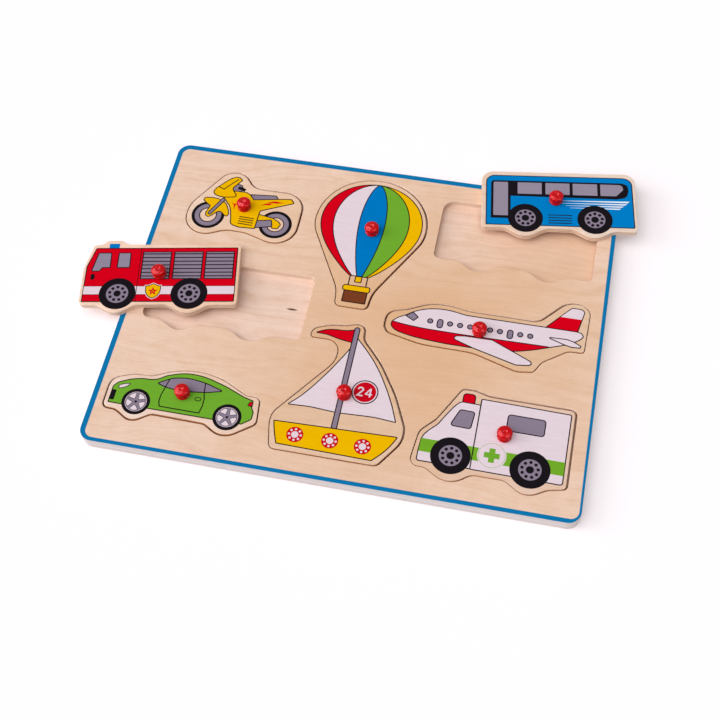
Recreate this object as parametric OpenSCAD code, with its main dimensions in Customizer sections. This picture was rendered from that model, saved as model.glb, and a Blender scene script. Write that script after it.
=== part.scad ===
// Peg puzzle: a plywood tray with eight lift-out vehicle boards, each with a red knob.
// The tray is two sheets glued together: a plain base, and a frame with eight openings
// cut right through it, so that each opening is a recess with the base as its floor.
// Six boards lie in their recesses; the bus and the fire engine lie loose on the tray.
// The tray is as large as its recesses, the walls between them and its borders need.
// X runs along the tray, Y away from the player and Z up, with the origin at the centre
// of the tray's underside.

/* [Tray] */
// Radius of the tray's four corners
tray_corner_radius = 8; // [3:0.5:14]
// Rounding of the tray's outer edges
tray_edge_radius = 0.3; // [0.2:0.1:1.5]
// Thickness of the base sheet
base_thickness = 4.5; // [2.5:0.1:10]
// Thickness of the frame sheet, which is the depth of the recesses
frame_thickness = 4.5; // [3:0.1:10]

/* [Boards] */
// Thickness of the vehicle boards
board_thickness = 4.5; // [3.5:0.1:12]
// Gap between a board and the wall of its recess, all round
fit_gap = 0.8; // [0.3:0.1:1.4]
// How far a board lies off the middle of its recess, as a share of that gap
lie_share = 0.45; // [0:0.05:0.5]
// Rounding of the boards' edges and of the recesses' upper edges
rim_radius = 0.4; // [0.2:0.05:0.8]

/* [Motorcycle] */
// Length of the cut line round the motorcycle
motorcycle_length = 75.3; // [60:0.1:95]
// Height of the cut line round the motorcycle
motorcycle_height = 52.7; // [42:0.1:66]

/* [Balloon] */
// Width of the cut line round the balloon
balloon_width = 73.6; // [58:0.1:92]
// Height of the cut line round the balloon
balloon_height = 101.9; // [82:0.1:125]

/* [Bus] */
// Length of the cut line round the bus
bus_length = 101; // [80:0.1:125]
// Height of the cut line round the bus
bus_height = 52.7; // [42:0.1:66]
// Turn of the loose bus on the tray
bus_turn = 7.9; // [0:0.1:15]
// How far along the tray the loose bus lies from its recess
bus_shift_x = 22.9; // [0:0.1:40]
// How far across the tray the loose bus lies from its recess
bus_shift_y = 32.3; // [0:0.1:40]

/* [Fire engine] */
// Length of the cut line round the fire engine
fire_engine_length = 101.6; // [80:0.1:125]
// Height of the cut line round the fire engine
fire_engine_height = 56.2; // [45:0.1:70]
// Turn of the loose fire engine on the tray
fire_engine_turn = 10.4; // [0:0.1:15]
// How far along the tray the loose fire engine lies from its recess
fire_engine_shift_x = -46.1; // [-48:0.1:0]
// How far across the tray the loose fire engine lies from its recess
fire_engine_shift_y = 6.1; // [0:0.1:12]

/* [Aeroplane] */
// Length of the cut line round the aeroplane
aeroplane_length = 125; // [100:0.1:155]
// Height of the cut line round the aeroplane
aeroplane_height = 55; // [45:0.1:70]

/* [Car] */
// Length of the cut line round the car
car_length = 95.4; // [76:0.1:120]
// Height of the cut line round the car
car_height = 39.5; // [32:0.1:52]

/* [Sailboat] */
// Length of the cut line round the sailboat
sailboat_length = 80.5; // [65:0.1:100]
// Height of the cut line round the sailboat
sailboat_height = 93.5; // [75:0.1:115]

/* [Ambulance] */
// Length of the cut line round the ambulance
ambulance_length = 92; // [75:0.1:115]
// Height of the cut line round the ambulance
ambulance_height = 62.1; // [50:0.1:78]

/* [Walls and borders along the tray] */
// Border left of the car
car_left_border = 8.2; // [4:0.1:30]
// Border left of the fire engine
fire_engine_left_border = 13.7; // [4:0.1:30]
// Border left of the motorcycle
motorcycle_left_border = 20.2; // [4:0.1:40]
// Wall between the car and the sailboat
car_sailboat_wall = 7.6; // [4:0.1:30]
// Wall between the fire engine and the sailboat's flag
fire_engine_flag_wall = 6.9; // [4:0.1:30]
// Wall between the fire engine and the balloon's neck
fire_engine_balloon_wall = 15.4; // [6:0.1:30]
// Wall between the motorcycle and the balloon
motorcycle_balloon_wall = 10.1; // [4:0.1:30]
// Wall between the sailboat and the ambulance
sailboat_ambulance_wall = 6.5; // [4:0.1:30]
// Wall between the sailboat's mast or the balloon's basket and the aeroplane's nose
mast_aeroplane_wall = 9.9; // [5:0.1:30]
// Wall between the balloon and the bus
balloon_bus_wall = 8; // [4:0.1:30]
// Border right of the ambulance
ambulance_right_border = 9.8; // [4:0.1:30]
// Border right of the aeroplane
aeroplane_right_border = 9.4; // [4:0.1:30]
// Border right of the bus
bus_right_border = 11.7; // [4:0.1:30]

/* [Walls and borders across the tray] */
// Border in front of the car
car_front_border = 17.6; // [4:0.1:40]
// Border in front of the sailboat
sailboat_front_border = 14.8; // [4:0.1:40]
// Border in front of the ambulance
ambulance_front_border = 13; // [4:0.1:40]
// Wall between the car and the fire engine
car_fire_engine_wall = 27.5; // [6:0.1:50]
// Wall between the fire engine and the motorcycle
fire_engine_motorcycle_wall = 18.4; // [5:0.1:40]
// Wall between the sailboat and the balloon
sailboat_balloon_wall = 11.4; // [5:0.1:30]
// Wall between the ambulance and the aeroplane
ambulance_aeroplane_wall = 17.3; // [5:0.1:40]
// Wall between the aeroplane and the bus
aeroplane_bus_wall = 13.5; // [5:0.1:40]
// Border behind the motorcycle
motorcycle_back_border = 18; // [4:0.1:40]
// Border behind the balloon
balloon_back_border = 8.4; // [4:0.1:40]
// Border behind the bus
bus_back_border = 16.4; // [4:0.1:40]

/* [Knobs] */
// Diameter of a knob's head
knob_diameter = 9.3; // [8:0.1:14]
// Height of a knob's domed head above its board
knob_height = 6.6; // [6:0.1:12]
// Rise of the dome above the head's rim
knob_crown_rise = 0.45; // [0.2:0.05:0.8]
// Rounding of the head's rim
knob_rim_radius = 1.4; // [0.8:0.05:1.6]
// Diameter of the body below the head
knob_body_diameter = 8.3; // [6:0.1:9]
// Diameter of the flange that seats on the board
knob_flange_diameter = 8.8; // [7.6:0.1:13]
// Rounding of the flange's rim, half its height
knob_flange_radius = 0.8; // [0.3:0.05:1]
// Radius of the groove round the body
knob_groove_radius = 1.15; // [0.6:0.05:1.4]
// Depth of the groove into the body
knob_groove_depth = 0.6; // [0.3:0.05:1]
// Diameter of the dimple in the top of the head
knob_dimple_diameter = 3.4; // [2:0.1:5]
// Depth of the dimple in the top of the head
knob_dimple_depth = 0.5; // [0.2:0.05:1]
// Diameter of the stem that is pressed into the board
stem_diameter = 4; // [2.5:0.1:5]
// Length of the stem below the board's face
stem_length = 3; // [2:0.1:3]
// Glue gap round the stem
stem_gap = 0.05; // [0.02:0.01:0.2]
// Depth of the hole beyond the end of the stem
stem_end_gap = 0.3; // [0.1:0.1:0.4]

/* [Hidden] */
// Most that a rounded corner's facets lie off its true arc, and the widest turn of one facet
arc_error = 0.05;
arc_turn = 18;
// How far a cut runs past the face that it opens
overrun = 1;
round_fn = 48;

// Sizes of the cut lines, which run along the middle of the gap round each board
motorcycle_size = [motorcycle_length, motorcycle_height];
balloon_size = [balloon_width, balloon_height];
bus_size = [bus_length, bus_height];
fire_engine_size = [fire_engine_length, fire_engine_height];
aeroplane_size = [aeroplane_length, aeroplane_height];
car_size = [car_length, car_height];
sailboat_size = [sailboat_length, sailboat_height];
ambulance_size = [ambulance_length, ambulance_height];

// Where the sailboat's flag starts and where its mast ends, as shares of its length, and
// where the balloon's neck starts and its basket ends, as shares of the balloon's width
flag_share = 0.137;
mast_share = 0.552;
neck_share = 0.342;
basket_share = 0.641;

// Corners of each cut line before they are rounded, anticlockwise from the lower left:
// share of the length, share of the height, and corner radius as a share of the height.
// A share is a little below 0 or above 1 where the rounding draws the line back in.
motorcycle_shares = [
    [0, 0, 0.266], [0.231, 0, 0.266], [0.382, 0.104, 0.38], [0.552, 0.104, 0.474],
    [0.778, 0.008, 0.266], [1, 0.008, 0.27], [1, 0.795, 0.256], [0.523, 0.793, 0.209],
    [0.408, 1, 0.214], [0.25, 1, 0.214], [0, 0.412, 0.38]];
balloon_shares = [
    [0.359, 0, 0.037], [basket_share, 0, 0.037], [0.658, 0.124, 0.245], [1, 0.577, 0.255],
    [1, 1, 0.357], [0, 1, 0.357], [0, 0.577, 0.255], [neck_share, 0.124, 0.245]];
bus_shares = [
    [0, 0.118, 0.066], [0.155, 0.123, 0.171], [0.287, -0.034, 0.224], [0.418, 0.12, 0.19],
    [0.593, 0.12, 0.19], [0.726, -0.038, 0.228], [0.851, 0.104, 0.133], [1, 0.101, 0.049],
    [1, 1, 0.142], [0, 1, 0.152]];
fire_engine_shares = [
    [0, 0.105, 0.077], [0.117, 0.105, 0.142], [0.242, -0.023, 0.16], [0.363, 0.109, 0.16],
    [0.558, 0.114, 0.16], [0.691, -0.032, 0.205], [0.82, 0.103, 0.142], [1, 0.105, 0.053],
    [1, 0.945, 0.057], [0.271, 0.945, 0.089], [0.232, 1, 0.08], [0.138, 1, 0.08],
    [0.098, 0.941, 0.071], [0.049, 0.938, 0.05], [0, 0.603, 0.267]];
aeroplane_shares = [
    [0, 0.26, 0.118], [0.194, 0.16, 1.09], [0.456, 0.153, 0.545], [0.682, 0, 0.218],
    [0.762, 0.025, 0.064], [0.796, 0.167, 0.164], [0.914, 0.358, 0.109], [0.992, 0.365, 0.04],
    [1, 1, 0.145], [0.879, 1, 0.225], [0.753, 0.684, 0.182], [0.407, 0.684, 0.727],
    [0.318, 0.722, 0.727], [0.213, 0.722, 0.491], [0.107, 0.6, 0.218], [0, 0.524, 0.136]];
car_shares = [
    [0, 0.142, 0.096], [0.092, 0.137, 0.203], [0.211, -0.041, 0.215], [0.328, 0.152, 0.152],
    [0.676, 0.137, 0.152], [0.814, -0.061, 0.319], [1.002, 0.276, 0.114], [0.982, 0.727, 0.101],
    [0.893, 0.724, 0.203], [0.667, 1, 1.215], [0.422, 1, 1.215], [0.263, 0.8, 0.354],
    [0.134, 0.787, 0.506], [0, 0.653, 0.203]];
sailboat_shares = [
    [0.045, 0, 0.043], [0.851, 0, 0.053], [1, 0.191, 0.171], [1, 0.289, 0.171],
    [0.88, 0.516, 0.642], [0.718, 0.734, 0.642], [mast_share, 0.89, 0.075], [0.54, 1, 0.047],
    [0.463, 1, 0.086], [0.405, 0.98, 0.107], [0.277, 0.966, 0.214],
    [flag_share, 0.919, 0.062], [flag_share, 0.851, 0.024], [0.376, 0.856, 0.09], [0.376, 0.695, 0.171], [0, 0.251, 0.128],
    [0, 0.179, 0.16]];
ambulance_shares = [
    [-0.005, 0.106, 0.081], [0.102, 0.106, 0.129], [0.262, -0.045, 0.23], [0.399, 0.106, 0.129],
    [0.611, 0.106, 0.129], [0.749, -0.035, 0.193], [0.884, 0.082, 0.129], [1, 0.119, 0.048],
    [1, 0.955, 0.056], [0.438, 0.961, 0.193], [0.34, 1, 0.161], [0.252, 1, 0.064],
    [0.117, 0.625, 0.161], [0.023, 0.477, 0.145]];

// Left front corners of the cut lines, from the tray's own left front corner
car_corner = [car_left_border, car_front_border];
fire_engine_corner =
    [fire_engine_left_border, car_corner[1] + car_height + car_fire_engine_wall];
motorcycle_corner = [
    motorcycle_left_border,
    fire_engine_corner[1] + fire_engine_height + fire_engine_motorcycle_wall];
sailboat_corner = [
    max(car_corner[0] + car_length + car_sailboat_wall,
        fire_engine_corner[0] + fire_engine_length + fire_engine_flag_wall
        - flag_share * sailboat_length),
    sailboat_front_border];
balloon_corner = [
    max(motorcycle_corner[0] + motorcycle_length + motorcycle_balloon_wall,
        fire_engine_corner[0] + fire_engine_length + fire_engine_balloon_wall
        - neck_share * balloon_width),
    sailboat_corner[1] + sailboat_height + sailboat_balloon_wall];
ambulance_corner = [
    sailboat_corner[0] + sailboat_length + sailboat_ambulance_wall,
    ambulance_front_border];
aeroplane_corner = [
    max(sailboat_corner[0] + mast_share * sailboat_length,
        balloon_corner[0] + basket_share * balloon_width) + mast_aeroplane_wall,
    ambulance_corner[1] + ambulance_height + ambulance_aeroplane_wall];
bus_corner = [
    balloon_corner[0] + balloon_width + balloon_bus_wall,
    aeroplane_corner[1] + aeroplane_height + aeroplane_bus_wall];

// The tray, 300 by 230, as large as its fullest row and its fullest column
tray_length = max(
    ambulance_corner[0] + ambulance_length + ambulance_right_border,
    aeroplane_corner[0] + aeroplane_length + aeroplane_right_border,
    bus_corner[0] + bus_length + bus_right_border);
tray_width = max(
    motorcycle_corner[1] + motorcycle_height + motorcycle_back_border,
    balloon_corner[1] + balloon_height + balloon_back_border,
    bus_corner[1] + bus_height + bus_back_border);

// Centres of the cut lines, from the tray's centre
function centre_of(corner, size) = corner + size / 2 - [tray_length, tray_width] / 2;
motorcycle_place = centre_of(motorcycle_corner, motorcycle_size);
balloon_place = centre_of(balloon_corner, balloon_size);
bus_place = centre_of(bus_corner, bus_size);
fire_engine_place = centre_of(fire_engine_corner, fire_engine_size);
aeroplane_place = centre_of(aeroplane_corner, aeroplane_size);
car_place = centre_of(car_corner, car_size);
sailboat_place = centre_of(sailboat_corner, sailboat_size);
ambulance_place = centre_of(ambulance_corner, ambulance_size);

// Where the boards lie: six off the middle of their recesses, each its own way, and two loose
motorcycle_way = [-1, 0];
balloon_way = [-1, 0];
aeroplane_way = [1, 0];
car_way = [0, 1];
sailboat_way = [-1, -0.4];
ambulance_way = [-1, -1];
lie = lie_share * fit_gap;
motorcycle_seat = motorcycle_place + lie * motorcycle_way;
balloon_seat = balloon_place + lie * balloon_way;
aeroplane_seat = aeroplane_place + lie * aeroplane_way;
car_seat = car_place + lie * car_way;
sailboat_seat = sailboat_place + lie * sailboat_way;
ambulance_seat = ambulance_place + lie * ambulance_way;
bus_loose_place = bus_place + [bus_shift_x, bus_shift_y];
fire_engine_loose_place = fire_engine_place + [fire_engine_shift_x, fire_engine_shift_y];

// Knobs from the centre of their boards, as shares of the board's length and height
motorcycle_knob_shares = [-0.011, -0.02];
balloon_knob_shares = [0.028, 0.088];
bus_knob_shares = [-0.018, 0.051];
fire_engine_knob_shares = [-0.006, 0.018];
aeroplane_knob_shares = [-0.031, -0.068];
car_knob_shares = [-0.012, 0.068];
sailboat_knob_shares = [0.004, -0.04];
ambulance_knob_shares = [0.067, 0.061];

// Height of the tray's upper face, where the loose boards lie
tray_top = base_thickness + frame_thickness;

wood = "burlywood";
knob_red = "red";

function knob_at(shares, size) = [shares[0] * size[0], shares[1] * size[1]];

// Corners in real sizes about the centre of the cut line's box, and their radii
function corner_points(shares, size) =
    [for (c = shares) [(c[0] - 1 / 2) * size[0], (c[1] - 1 / 2) * size[1]]];
function corner_radii(shares, size) = [for (c = shares) c[2] * size[1]];

// Turn of the line at corner i, positive to the left, and the straight that its arc takes up
function before(p, i) = (i + len(p) - 1) % len(p);
function after(p, i) = (i + 1) % len(p);
function turn_at(p, i) =
    let (a = p[i] - p[before(p, i)], b = p[after(p, i)] - p[i])
    atan2(cross(a, b), a * b);
function taken(p, r, i) = r[i] * tan(abs(turn_at(p, i)) / 2);

// A radius is made smaller where its straight is too short for it and its neighbour
function edge_room(p, r, i) =
    min(1, norm(p[after(p, i)] - p[i]) / (taken(p, r, i) + taken(p, r, after(p, i))));
function fitted_radii(p, r) =
    [for (i = [0 : len(p) - 1]) r[i] * min(edge_room(p, r, i), edge_room(p, r, before(p, i)))];

// Arc at corner i, with the whole line grown outwards by grow
function facets(r, turn) =
    max(1, ceil(abs(turn) / min(arc_turn, 2 * acos(max(0, 1 - arc_error / r)))));
function corner_arc(p, r, i, grow) =
    let (
        along = (p[i] - p[before(p, i)]) / norm(p[i] - p[before(p, i)]),
        outward = [along[1], -along[0]],
        turn = turn_at(p, i),
        side = sign(turn),
        centre = p[i] - along * taken(p, r, i) - outward * side * r[i],
        start = atan2(outward[1], outward[0]),
        n = facets(r[i], turn))
    [for (k = [0 : n])
        let (a = start + turn * k / n)
        centre + side * (r[i] + side * grow) * [cos(a), sin(a)]];
function outline(shares, size, grow) =
    let (p = corner_points(shares, size), r = fitted_radii(p, corner_radii(shares, size)))
    [for (i = [0 : len(p) - 1]) each corner_arc(p, r, i, grow)];

// Triangles over a flat outline, found by cutting off one ear after another
function left_of(a, b, c) = cross(b - a, c - a);
function in_triangle(q, a, b, c) =
    left_of(a, b, q) >= 0 && left_of(b, c, q) >= 0 && left_of(c, a, q) >= 0;
function is_ear(pts, ids, k) =
    let (a = ids[before(ids, k)], b = ids[k], c = ids[after(ids, k)])
    left_of(pts[a], pts[b], pts[c]) > 0
    && len([for (j = ids) if (j != a && j != b && j != c
        && in_triangle(pts[j], pts[a], pts[b], pts[c])) j]) == 0;
function first_ear(pts, ids, k = 0) =
    is_ear(pts, ids, k) || k >= len(ids) - 1 ? k : first_ear(pts, ids, k + 1);
function triangles(pts, ids) =
    len(ids) <= 3 ? [ids] :
    let (k = first_ear(pts, ids))
    concat([[ids[before(ids, k)], ids[k], ids[after(ids, k)]]],
        triangles(pts, [for (j = [0 : len(ids) - 1]) if (j != k) ids[j]]));
function reversed(f) = [for (i = [len(f) - 1 : -1 : 0]) f[i]];

// Solid through rings of one outline; each ring gives its growth and its height
module ringed_solid(shares, size, rings) {
    lines = [for (ring = rings) outline(shares, size, ring[0])];
    n = len(lines[0]);
    top = len(rings) - 1;
    ids = [for (i = [0 : n - 1]) i];
    points = [for (k = [0 : top]) each [for (q = lines[k]) [q[0], q[1], rings[k][1]]]];
    sides = [for (k = [0 : top - 1]) for (i = ids)
        let (j = (i + 1) % n)
        [k * n + i, k * n + n + i, k * n + n + j, k * n + j]];
    floor_faces = triangles(lines[0], ids);
    top_faces = [for (f = triangles(lines[top], ids)) [for (i = reversed(f)) top * n + i]];
    polyhedron(points = points, faces = concat(floor_faces, sides, top_faces));
}

// A board with both its edges rounded, and the blind hole for its knob's stem
module vehicle_board(shares, size, knob) {
    edge = -fit_gap / 2;
    half_way = rim_radius * (1 - cos(45));
    rings = [
        [edge - rim_radius, 0],
        [edge - half_way, half_way],
        [edge, rim_radius],
        [edge, board_thickness - rim_radius],
        [edge - half_way, board_thickness - half_way],
        [edge - rim_radius, board_thickness]];
    difference() {
        ringed_solid(shares, size, rings);
        translate([knob[0], knob[1], board_thickness - stem_length - stem_end_gap])
            cylinder(d = stem_diameter + 2 * stem_gap,
                h = stem_length + stem_end_gap + overrun, $fn = round_fn);
    }
}

// What is cut out of the frame for one board, flared where the recess's upper edge is rounded
module recess_cut(shares, size) {
    edge = fit_gap / 2;
    half_way = rim_radius * (1 - cos(45));
    rings = [
        [edge, -overrun],
        [edge, frame_thickness - rim_radius],
        [edge + half_way, frame_thickness - half_way],
        [edge + rim_radius, frame_thickness],
        [edge + rim_radius, frame_thickness + overrun]];
    ringed_solid(shares, size, rings);
}

// Section across a sheet: half its width and its thickness, with the upper outer edge rounded
module sheet_half_section(half_width, thickness) {
    square([half_width, thickness - tray_edge_radius]);
    square([half_width - tray_edge_radius, thickness]);
    translate([half_width - tray_edge_radius, thickness - tray_edge_radius])
        circle(r = tray_edge_radius, $fn = round_fn);
}
module sheet_section(half_width, thickness) {
    sheet_half_section(half_width, thickness);
    mirror([1, 0]) sheet_half_section(half_width, thickness);
}

// One sheet of the tray, with round corners and its upper outer edge rounded
module tray_sheet(thickness) {
    straight_x = tray_length - 2 * tray_corner_radius;
    straight_y = tray_width - 2 * tray_corner_radius;
    rotate([90, 0, 90])
        linear_extrude(height = straight_x, center = true)
            sheet_section(tray_width / 2, thickness);
    rotate([90, 0, 0])
        linear_extrude(height = straight_y, center = true)
            sheet_section(tray_length / 2, thickness);
    for (x = [-1, 1], y = [-1, 1])
        translate([x * straight_x / 2, y * straight_y / 2, 0])
            rotate_extrude($fn = round_fn)
                sheet_half_section(tray_corner_radius, thickness);
}

// Half section of a knob's head: a dome over a round rim that carries on from its edge
module head_half_section(reach, rim_height, crown_radius) {
    crown_turn = asin(reach / (crown_radius - knob_rim_radius));
    crown_steps = ceil(crown_turn * round_fn / 360);
    rim_steps = ceil((180 - crown_turn) * round_fn / 360);
    crown = [for (k = [0 : crown_steps - 1])
        let (a = crown_turn * k / crown_steps)
        [0, knob_height - crown_radius] + crown_radius * [sin(a), cos(a)]];
    rim = [for (k = [0 : rim_steps])
        let (a = crown_turn + (180 - crown_turn) * k / rim_steps)
        [reach, rim_height] + knob_rim_radius * [sin(a), cos(a)]];
    polygon(reversed(concat(crown, rim, [[0, rim_height - knob_rim_radius]])));
}

// Half section of a knob, from its axis out, with the underside of its flange at zero
module knob_half_section() {
    head_reach = knob_diameter / 2 - knob_rim_radius;
    rim_height = knob_height - knob_crown_rise - knob_rim_radius;
    crown_radius = (head_reach * head_reach / knob_crown_rise + knob_crown_rise) / 2
        + knob_rim_radius;
    flange_reach = knob_flange_diameter / 2 - knob_flange_radius;
    groove_height = (2 * knob_flange_radius + rim_height - knob_rim_radius) / 2;
    groove_centre = knob_body_diameter / 2 - knob_groove_depth + knob_groove_radius;
    dimple_half = knob_dimple_diameter / 2;
    dimple_radius = (dimple_half * dimple_half + knob_dimple_depth * knob_dimple_depth)
        / (2 * knob_dimple_depth);
    dimple_height = knob_height - crown_radius
        + sqrt(crown_radius * crown_radius - dimple_half * dimple_half);
    difference() {
        union() {
            head_half_section(head_reach, rim_height, crown_radius);
            square([knob_body_diameter / 2, rim_height]);
            square([flange_reach, 2 * knob_flange_radius]);
            translate([flange_reach, knob_flange_radius])
                circle(r = knob_flange_radius, $fn = round_fn);
            translate([0, -stem_length])
                square([stem_diameter / 2, stem_length + knob_flange_radius]);
        }
        translate([groove_centre, groove_height])
            circle(r = knob_groove_radius, $fn = round_fn);
        translate([0, dimple_height + dimple_radius - knob_dimple_depth])
            circle(r = dimple_radius, $fn = round_fn);
    }
}

module knob() {
    rotate_extrude($fn = round_fn) knob_half_section();
}

// Moves a piece from its own place about the centre of its cut line to where it lies
module seated(at) {
    translate([at[0], at[1], base_thickness]) children();
}
module loose(at, turn) {
    translate([at[0], at[1], tray_top]) rotate([0, 0, turn]) children();
}
module on_board(at) {
    translate([at[0], at[1], board_thickness]) children();
}

// Base sheet, with its rounded edge below
module base_board() {
    color(wood)
        translate([0, 0, base_thickness]) mirror([0, 0, 1]) tray_sheet(base_thickness);
}

// Frame sheet, with a way right through it for every board
module frame_board() {
    color(wood)
        translate([0, 0, base_thickness])
            difference() {
                tray_sheet(frame_thickness);
                recess_at(motorcycle_place, motorcycle_shares, motorcycle_size);
                recess_at(balloon_place, balloon_shares, balloon_size);
                recess_at(bus_place, bus_shares, bus_size);
                recess_at(fire_engine_place, fire_engine_shares, fire_engine_size);
                recess_at(aeroplane_place, aeroplane_shares, aeroplane_size);
                recess_at(car_place, car_shares, car_size);
                recess_at(sailboat_place, sailboat_shares, sailboat_size);
                recess_at(ambulance_place, ambulance_shares, ambulance_size);
            }
}
module recess_at(at, shares, size) {
    translate([at[0], at[1], 0]) recess_cut(shares, size);
}

module motorcycle_board() {
    color("gold") seated(motorcycle_seat)
        vehicle_board(motorcycle_shares, motorcycle_size,
            knob_at(motorcycle_knob_shares, motorcycle_size));
}
module motorcycle_knob() {
    color(knob_red) seated(motorcycle_seat)
        on_board(knob_at(motorcycle_knob_shares, motorcycle_size)) knob();
}

module balloon_board() {
    color("dodgerblue") seated(balloon_seat)
        vehicle_board(balloon_shares, balloon_size,
            knob_at(balloon_knob_shares, balloon_size));
}
module balloon_knob() {
    color(knob_red) seated(balloon_seat)
        on_board(knob_at(balloon_knob_shares, balloon_size)) knob();
}

module bus_board() {
    color("royalblue") loose(bus_loose_place, bus_turn)
        vehicle_board(bus_shares, bus_size, knob_at(bus_knob_shares, bus_size));
}
module bus_knob() {
    color(knob_red) loose(bus_loose_place, bus_turn)
        on_board(knob_at(bus_knob_shares, bus_size)) knob();
}

module fire_engine_board() {
    color("crimson") loose(fire_engine_loose_place, fire_engine_turn)
        vehicle_board(fire_engine_shares, fire_engine_size,
            knob_at(fire_engine_knob_shares, fire_engine_size));
}
module fire_engine_knob() {
    color(knob_red) loose(fire_engine_loose_place, fire_engine_turn)
        on_board(knob_at(fire_engine_knob_shares, fire_engine_size)) knob();
}

module aeroplane_board() {
    color("lavender") seated(aeroplane_seat)
        vehicle_board(aeroplane_shares, aeroplane_size,
            knob_at(aeroplane_knob_shares, aeroplane_size));
}
module aeroplane_knob() {
    color(knob_red) seated(aeroplane_seat)
        on_board(knob_at(aeroplane_knob_shares, aeroplane_size)) knob();
}

module car_board() {
    color("limegreen") seated(car_seat)
        vehicle_board(car_shares, car_size, knob_at(car_knob_shares, car_size));
}
module car_knob() {
    color(knob_red) seated(car_seat)
        on_board(knob_at(car_knob_shares, car_size)) knob();
}

module sailboat_board() {
    color("white") seated(sailboat_seat)
        vehicle_board(sailboat_shares, sailboat_size,
            knob_at(sailboat_knob_shares, sailboat_size));
}
module sailboat_knob() {
    color(knob_red) seated(sailboat_seat)
        on_board(knob_at(sailboat_knob_shares, sailboat_size)) knob();
}

module ambulance_board() {
    color("whitesmoke") seated(ambulance_seat)
        vehicle_board(ambulance_shares, ambulance_size,
            knob_at(ambulance_knob_shares, ambulance_size));
}
module ambulance_knob() {
    color(knob_red) seated(ambulance_seat)
        on_board(knob_at(ambulance_knob_shares, ambulance_size)) knob();
}

base_board();
frame_board();
motorcycle_board();
motorcycle_knob();
balloon_board();
balloon_knob();
bus_board();
bus_knob();
fire_engine_board();
fire_engine_knob();
aeroplane_board();
aeroplane_knob();
car_board();
car_knob();
sailboat_board();
sailboat_knob();
ambulance_board();
ambulance_knob();
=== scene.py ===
import math

import bpy
from mathutils import Matrix, Vector
from mathutils.geometry import tessellate_polygon


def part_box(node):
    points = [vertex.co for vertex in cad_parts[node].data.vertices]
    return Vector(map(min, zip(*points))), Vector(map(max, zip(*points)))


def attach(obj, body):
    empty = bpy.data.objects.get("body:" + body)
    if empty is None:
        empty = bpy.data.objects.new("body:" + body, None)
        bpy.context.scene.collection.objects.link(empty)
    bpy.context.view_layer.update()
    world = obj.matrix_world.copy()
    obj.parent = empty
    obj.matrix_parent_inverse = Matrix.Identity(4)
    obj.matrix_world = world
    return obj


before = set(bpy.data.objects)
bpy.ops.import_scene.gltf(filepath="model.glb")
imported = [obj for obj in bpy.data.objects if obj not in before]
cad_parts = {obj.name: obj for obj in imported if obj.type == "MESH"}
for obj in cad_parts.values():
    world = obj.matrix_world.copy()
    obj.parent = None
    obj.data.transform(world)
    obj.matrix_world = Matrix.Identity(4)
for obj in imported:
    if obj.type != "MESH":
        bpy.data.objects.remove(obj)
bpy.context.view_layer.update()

MM = 0.001


# Base sheet of the tray. Birch plywood of three plies, 4.5 mm thick, sanded and lacquered.
# It is glued under the frame, and its upper face shows as the floor of every empty recess.
SHEET = 4.5 * MM
TRAY_TOP = 2 * SHEET
RING_WIDTH = 5.0 * MM
RING_SWAY = 11.0
HEARTWOOD = "#E1B288"
HEART_REACH = (60 * MM, 210 * MM)
HEART_SWAY = 120 * MM
KNOT_BROWN = "#4C2212"
KNOT_HALF = (3.6 * MM, 0.8 * MM)
# Painted shade: the brown that edges turn to where they face along X, standing in for the shade down
# in the narrow gaps between boards and tray
GAP_SHADE_BROWN = "#86431E"
# Edges that lie this near to a side of the tray are its outside
OUTSIDE_REACH = 3.0 * MM
# An edge's colours: its outer plies, its middle ply and its glue lines, and the share of
# painted shade by which it turns to the gap-shade brown where it faces along X
SANDED_EDGE = ("#E4DDDC", "#DFD6D4", "#D9CECB", 0.05)


def linear(hex_colour):
    """An sRGB hex colour as linear red, green, blue and alpha."""
    parts = [int(hex_colour[i:i + 2], 16) / 255 for i in (1, 3, 5)]
    return [p / 12.92 if p <= 0.04045 else ((p + 0.055) / 1.055) ** 2.4 for p in parts] + [1.0]


def put(tree, kind, settings, inputs):
    """A new node with its settings, and its inputs as values or as links."""
    node = tree.nodes.new(kind)
    for name, value in settings.items():
        setattr(node, name, value)
    for name, value in inputs.items():
        if isinstance(value, bpy.types.NodeSocket):
            tree.links.new(value, node.inputs[name])
        else:
            node.inputs[name].default_value = value
    return node


def blank_material(name):
    """A material with nothing but a shader joined to its output."""
    material = bpy.data.materials.new(name)
    material.use_nodes = True
    tree = material.node_tree
    tree.nodes.clear()
    shader = put(tree, "ShaderNodeBsdfPrincipled", {}, {})
    put(tree, "ShaderNodeOutputMaterial", {}, {"Surface": shader.outputs["BSDF"]})
    return material, tree, shader


def stretched(tree, grain, along, across, detail, roughness=0.5):
    """Noise that runs with the grain, in patches along mm long and across mm wide."""
    scaled = put(tree, "ShaderNodeMapping", {}, {
        "Vector": grain,
        "Scale": (1 / (along * MM), 1 / (across * MM), 1 / (across * MM))})
    noise = put(tree, "ShaderNodeTexNoise", {}, {
        "Vector": scaled.outputs["Vector"],
        "Scale": 1.0, "Detail": detail, "Roughness": roughness})
    return noise.outputs["Fac"]


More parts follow.
